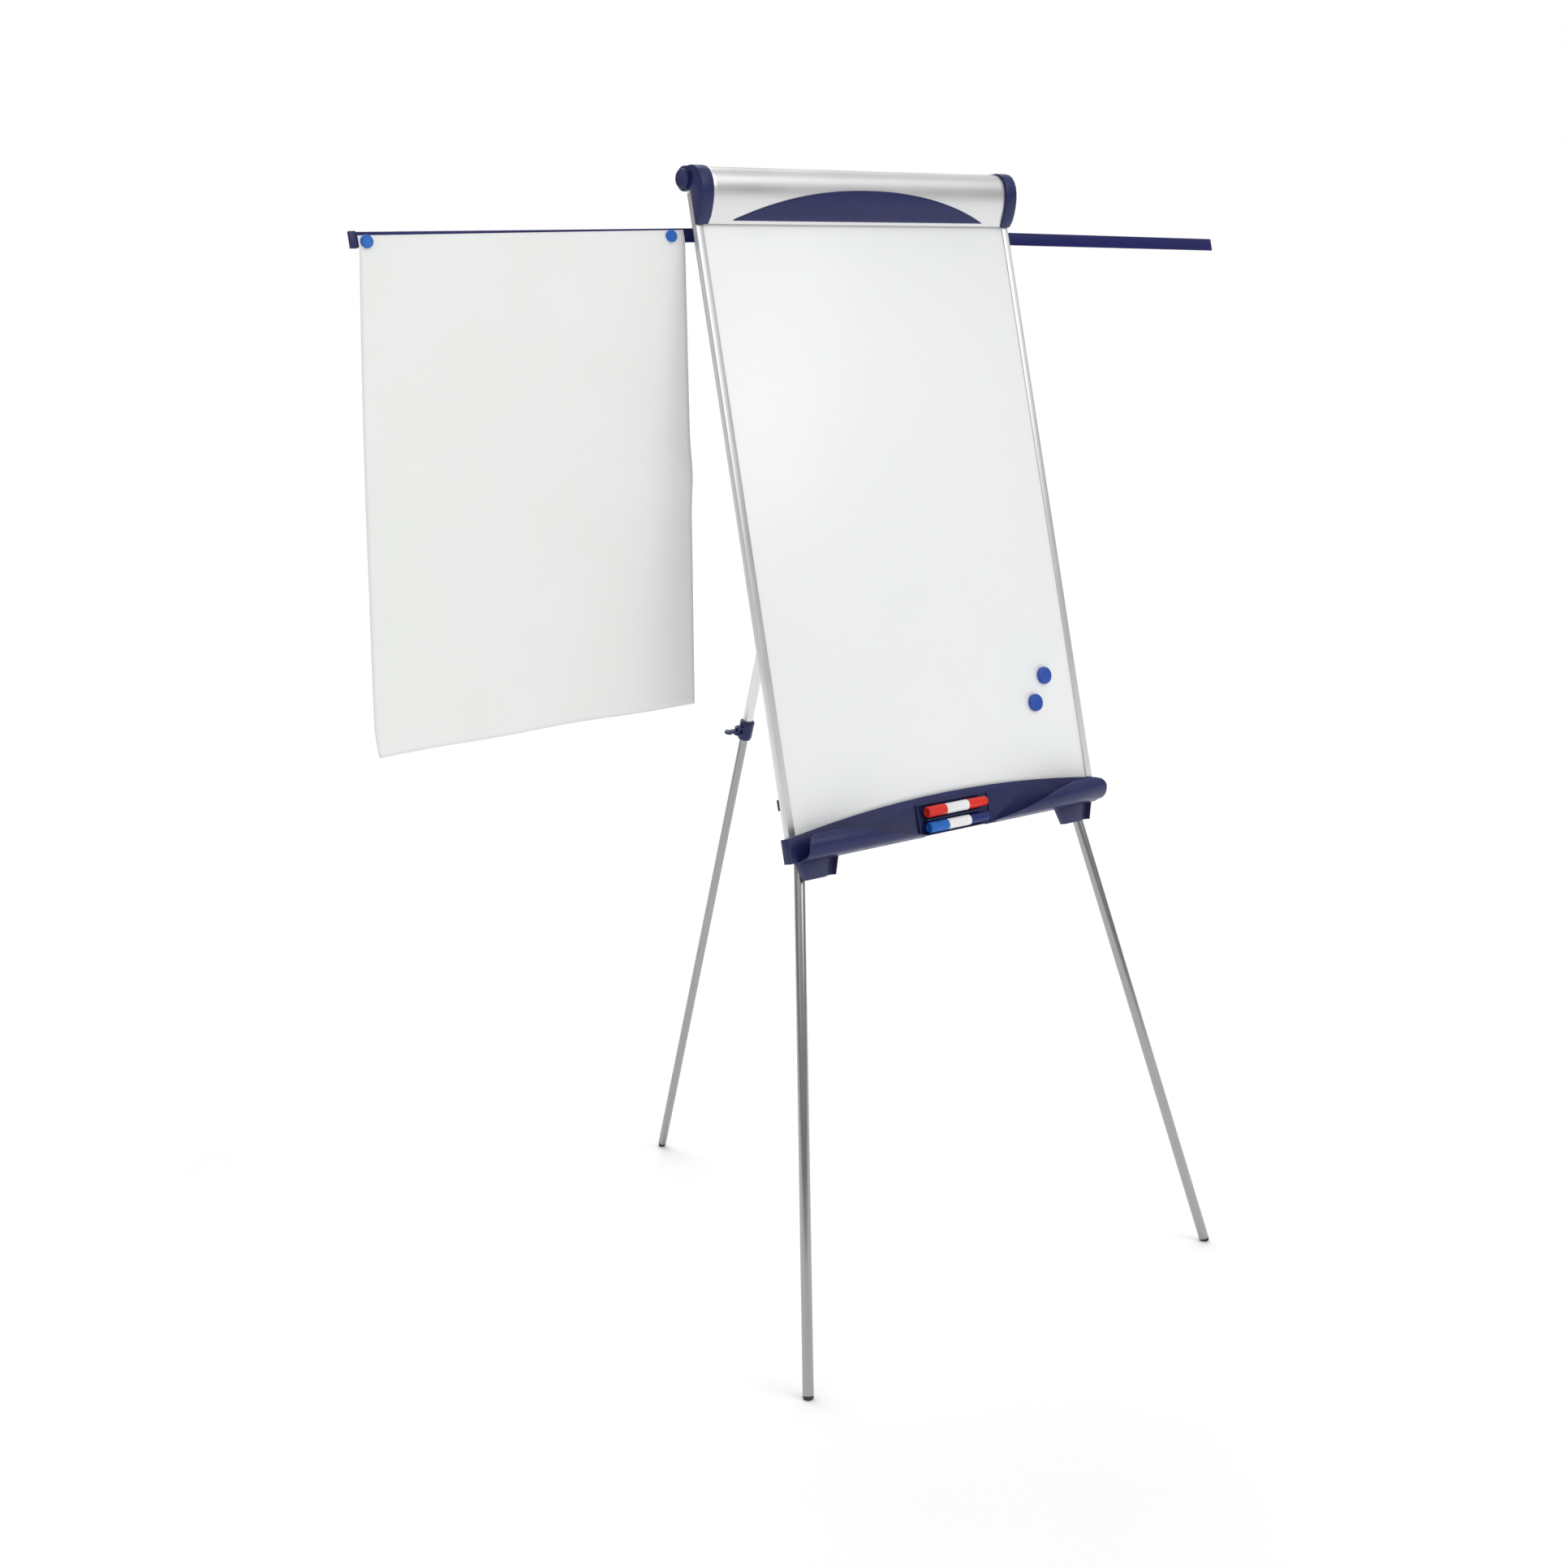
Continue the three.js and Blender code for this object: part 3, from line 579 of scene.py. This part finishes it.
def carried_nodes():
    """The CAD nodes whose shapes stay."""
    navy = plastic("navy_plastic", NAVY)
    black = plastic("black_plastic", BLACK, 0.5)
    steel = galvanised("galvanised")
    rail = aluminium("rail_aluminium", tuple(UP), 0.7, 0.36)
    cross = aluminium("cross_aluminium", tuple(ALONG), 0.76)
    carry("side_rail_left side_rail_right", rail, 0.25)
    carry("bottom_rail top_rail barrel_saddle hook_rail arm_left_channel arm_right_channel", cross, 0.15)
    carry("pivot_barrel", header_aluminium(), 0.2)
    carry("whiteboard_face", enamel("white_enamel"), 0.1)
    carry("panel_core", board_core("fibre_core"), 0)
    carry("panel_back_sheet channel_hanger_left channel_hanger_middle channel_hanger_right", steel, 0.15)
    carry("rear_hinge_bracket rear_hinge_pin", steel, 0.3)
    carry("barrel_plug_left barrel_plug_right", navy, 0.6)
    carry("clamp_cap_left clamp_cap_right", plastic("cap_navy", NAVY, 0.33), 1.1)
    carry("pen_tray tray_end_left tray_end_right", navy, 0.5)
    carry("leg_housing_left leg_housing_right", plastic("housing_navy", HOUSING_NAVY, 0.42), 0.7)
    carry("leg_sleeve_left leg_sleeve_right rear_hinge_head rear_clamp_collar clamp_lever", navy, 0.5)
    carry("arm_left_tip arm_right_tip", navy, 0.5)
    carry("arm_left_bar arm_right_bar", painted_steel("navy_steel", ARM_NAVY), 0.3)
    carry("arm_left_carriage arm_right_carriage pad_hook_left pad_hook_right", black, 0.3)
    carry("leg_knob_left leg_knob_right", black, 1.2)
    carry("clamp_strip front_foot_left front_foot_right rear_foot", rubber("black_rubber"), 0.4)
    for side in ("left", "right"):
        leg = aluminium(f"leg_aluminium_{side}", direction_of(f"leg_{side}_extend"), 0.37, 0.2)
        carry(f"front_leg_{side}", leg, 0.2)
    rear = direction_of("rear_leg_extend")
    carry("rear_leg_upper", aluminium("rear_upper_aluminium", rear, 0.7), 0.2)
    carry("rear_leg_lower", aluminium("rear_lower_aluminium", rear, 0.36, 0.3), 0.2)


def sheet_point(across, down):
    """Where a point of the flat sheet ends up, given its distances from the outer side and the top."""
    beside = across - SHEET_WIDTH
    below = -min(down, SHEET_STRIP)
    cos, sin = math.cos(SHEET_DROOP), math.sin(SHEET_DROOP)
    held = at(SHEET_INNER + beside * cos - below * sin, SHEET_TOP + beside * sin + below * cos, SHEET_N)

    hang = max(0, down - SHEET_STRIP)
    inward = across / SHEET_WIDTH
    outward_share = 1 - inward
    waves = 5.5 * math.sin(across / 92 + 0.9) + 3.0 * math.sin(across / 41 + hang / 330)
    waves *= min(1, hang / WAVE_FULL) ** 1.4
    crease = CREASE * math.exp(-(((hang - CREASE_DOWN) / CREASE_SPAN) ** 2)) * inward ** 4
    bow = BOW * math.sin(math.pi / 2 * min(1, hang / BOW_FULL)) * outward_share ** 2.5
    curled = max(0, hang - CURL_DOWN) / (SHEET_HEIGHT - SHEET_STRIP - CURL_DOWN)
    curl = CURL * curled ** 2 * outward_share ** 8
    return held + Vector((sin * hang, bow - curl - waves - crease, -hang)) * MM


def hanging_sheet():
    """Flipchart paper: its top strip lies on the leaning bar, the rest hangs and waves gently."""
    rows = [[sheet_point(SHEET_WIDTH * k / SHEET_COLUMNS, SHEET_HEIGHT * i / SHEET_ROWS)
             for k in range(SHEET_COLUMNS + 1)] for i in range(SHEET_ROWS + 1)]
    sheet = new_object("paper_sheet", *grid_faces(rows))
    thick = sheet.modifiers.new("thickness", "SOLIDIFY")
    thick.thickness = SHEET_THICKNESS * MM
    thick.offset = 1
    stand_for(sheet, "arm_left", "hanging_sheet", paper("flipchart_paper"))


def marker_cap(colour, start, material):
    """A ribbed cap with a groove near its open end."""
    outline = [(0, 0.9), (5.0, 0.9), (5.6, 0), (7.9, 0), (9.1, 2), (9.35, CAP_END - 4), (9.0, CAP_END - 3),
               (9.35, CAP_END - 2), (9.35, CAP_END), (8.5, CAP_END), (8.5, CAP_END - 3)]
    cap = lathe(f"marker_{colour}_ribbed_cap", soften(outline, 0.6), start, ALONG, 144, CAP_RIBS)
    stand_for(cap, f"marker_{colour}", f"marker_{colour}_cap", material)


def marker_barrel(colour, start, ink):
    """A barrel with a plain white label, one plain stripe and a tail in the ink's colour."""
    end = MARKER_LENGTH
    outline = [(0, 30), (8.1, 30), (8.1, CAP_END + 1.5), (8.7, CAP_END + 2.5), (8.75, CAP_END + 5),
               (8.75, LABEL_END), (8.6, LABEL_END + 0.2), (8.6, end - 14), (8.1, end - 12.5),
               (8.1, end - 3), (6.4, end), (0, end)]
    barrel = lathe(f"marker_{colour}_barrel", soften(outline, 0.5), start, ALONG)
    label = plastic("label_white", LABEL_WHITE, 0.28)
    stand_for(barrel, f"marker_{colour}", f"marker_{colour}_body", label)
    barrel.data.materials.append(plastic(f"tail_{colour}", ink, 0.2))
    barrel.data.materials.append(plastic(f"stripe_{colour}", ink, 0.35))
    for polygon in barrel.data.polygons:
        distance = (polygon.center - start).dot(ALONG) / MM
        if distance > LABEL_END:
            polygon.material_index = 1
        elif STRIPE[0] < distance < STRIPE[1]:
            polygon.material_index = 2


def markers():
    for colour, cap_colour, ink in (("red", RED, RED), ("blue", BRIGHT_BLUE, INK_BLUE)):
        start = at(MARKER_FROM, MARKER_V[colour], MARKER_N)
        marker_cap(colour, start, plastic(f"{colour}_plastic", cap_colour, 0.3))
        marker_barrel(colour, start, ink)


def magnet(node, body, radius, deep, material):
    """A round magnet with a soft rim and a shallow dish."""
    low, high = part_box(node)
    u, v, n = on_board((Vector(low) + Vector(high)) / 2)
    outline = [(0, 0), (radius * 0.93, 0), (radius, 0.8), (radius, deep * 0.62), (radius * 0.94, deep * 0.93),
               (radius * 0.84, deep), (radius * 0.74, deep - 0.25), (radius * 0.66, deep - 0.55),
               (0, deep - 0.55)]
    piece = lathe(f"{node}_disc", soften(outline, 0.9), at(u, v, n - deep / 2), FORWARD, 96)
    stand_for(piece, body, node, material)


def magnets():
    dark = plastic("dark_magnet", MAGNET_BLUE, 0.3)
    bright = plastic("bright_magnet", BRIGHT_BLUE, 0.3)
    magnet("board_magnet_1", "board_magnet_upper", 15, 8, dark)
    magnet("board_magnet_2", "board_magnet_lower", 15, 8, dark)
    magnet("sheet_magnet_1", "sheet_magnet_left", 10, 5.6, bright)
    magnet("sheet_magnet_2", "sheet_magnet_right", 10, 5.6, bright)


def outward(curve, i):
    """The outward direction of a (n, v) curve that runs up the front of the cover."""
    ahead = curve[min(i + 1, len(curve) - 1)] - curve[max(i - 1, 0)]
    return Vector((ahead.y, -ahead.x)).normalized()


def rolled_cover(front):
    """The cover is one thick sheet, up its front curve and rolled back over the barrel."""
    turns = [math.radians(ROLL_FROM + ROLL_STEP * i) for i in range(ROLL_STEPS)]
    roll = [Vector((PIVOT_N + ROLL_R * math.cos(a), PIVOT_V + ROLL_R * math.sin(a))) for a in turns]
    outer = front + roll
    inner = [p - outward(outer, i) * COVER_T for i, p in enumerate(outer)]
    loop = outer + inner[::-1]
    us = [COVER_HALF * (2 * i / COVER_SPANS - 1) for i in range(COVER_SPANS + 1)]
    cover = bent_plate("rolled_cover", [[at(u, p.y, p.x) for p in loop] for u in us])
    round_edges(cover, 0.35, 50)
    smooth(cover)
    stand_for(cover, "pad_clamp", "clamp_cover", header_aluminium())


def above_cover(front, v, lift):
    """The (n, v) point of the cover's front at a height v, moved outwards by a lift."""
    i = max(k for k in range(len(front) - 1) if front[k].y <= v or k == 0)
    t = min(1, max(0, (v - front[i].y) / (front[i + 1].y - front[i].y)))
    away = outward(front, i).lerp(outward(front, i + 1), t)
    return front[i].lerp(front[i + 1], t) + away * lift


def arched_trim(front):
    """A thin plate on the cover's front, arched along its top and crowned towards its middle."""
    rows = []
    for i in range(TRIM_SPANS + 1):
        x = 2 * i / TRIM_SPANS - 1
        u = TRIM_HALF * x
        reach = TRIM_END_HEIGHT + TRIM_ARCH * (1 - abs(x) ** TRIM_POWER)
        face, back = [], []
        for k in range(TRIM_STEPS + 1):
            share = k / TRIM_STEPS
            inset = min(1, min(share, 1 - share) * reach / TRIM_ROUND)
            lift = TRIM_RIM + TRIM_CROWN * (1 - (1 - inset) ** 2) * min(1, (1 - abs(x)) * 16 + 0.15)
            shown = above_cover(front, TRIM_V + reach * share, lift)
            hidden = above_cover(front, shown.y, 0.1)
            face.append(at(u, shown.y, shown.x))
            back.append(at(u, hidden.y, hidden.x))
        rows.append(face + back[::-1])
    trim = bent_plate("arched_trim", rows)
    smooth(trim)
    stand_for(trim, "pad_clamp", "clamp_trim", plastic("trim_navy", NAVY, 0.36))


def header():
    front = flowing(COVER_FRONT, 5)
    rolled_cover(front)
    arched_trim(front)


make_camera()
make_studio()
carried_nodes()
hanging_sheet()
markers()
magnets()
header()
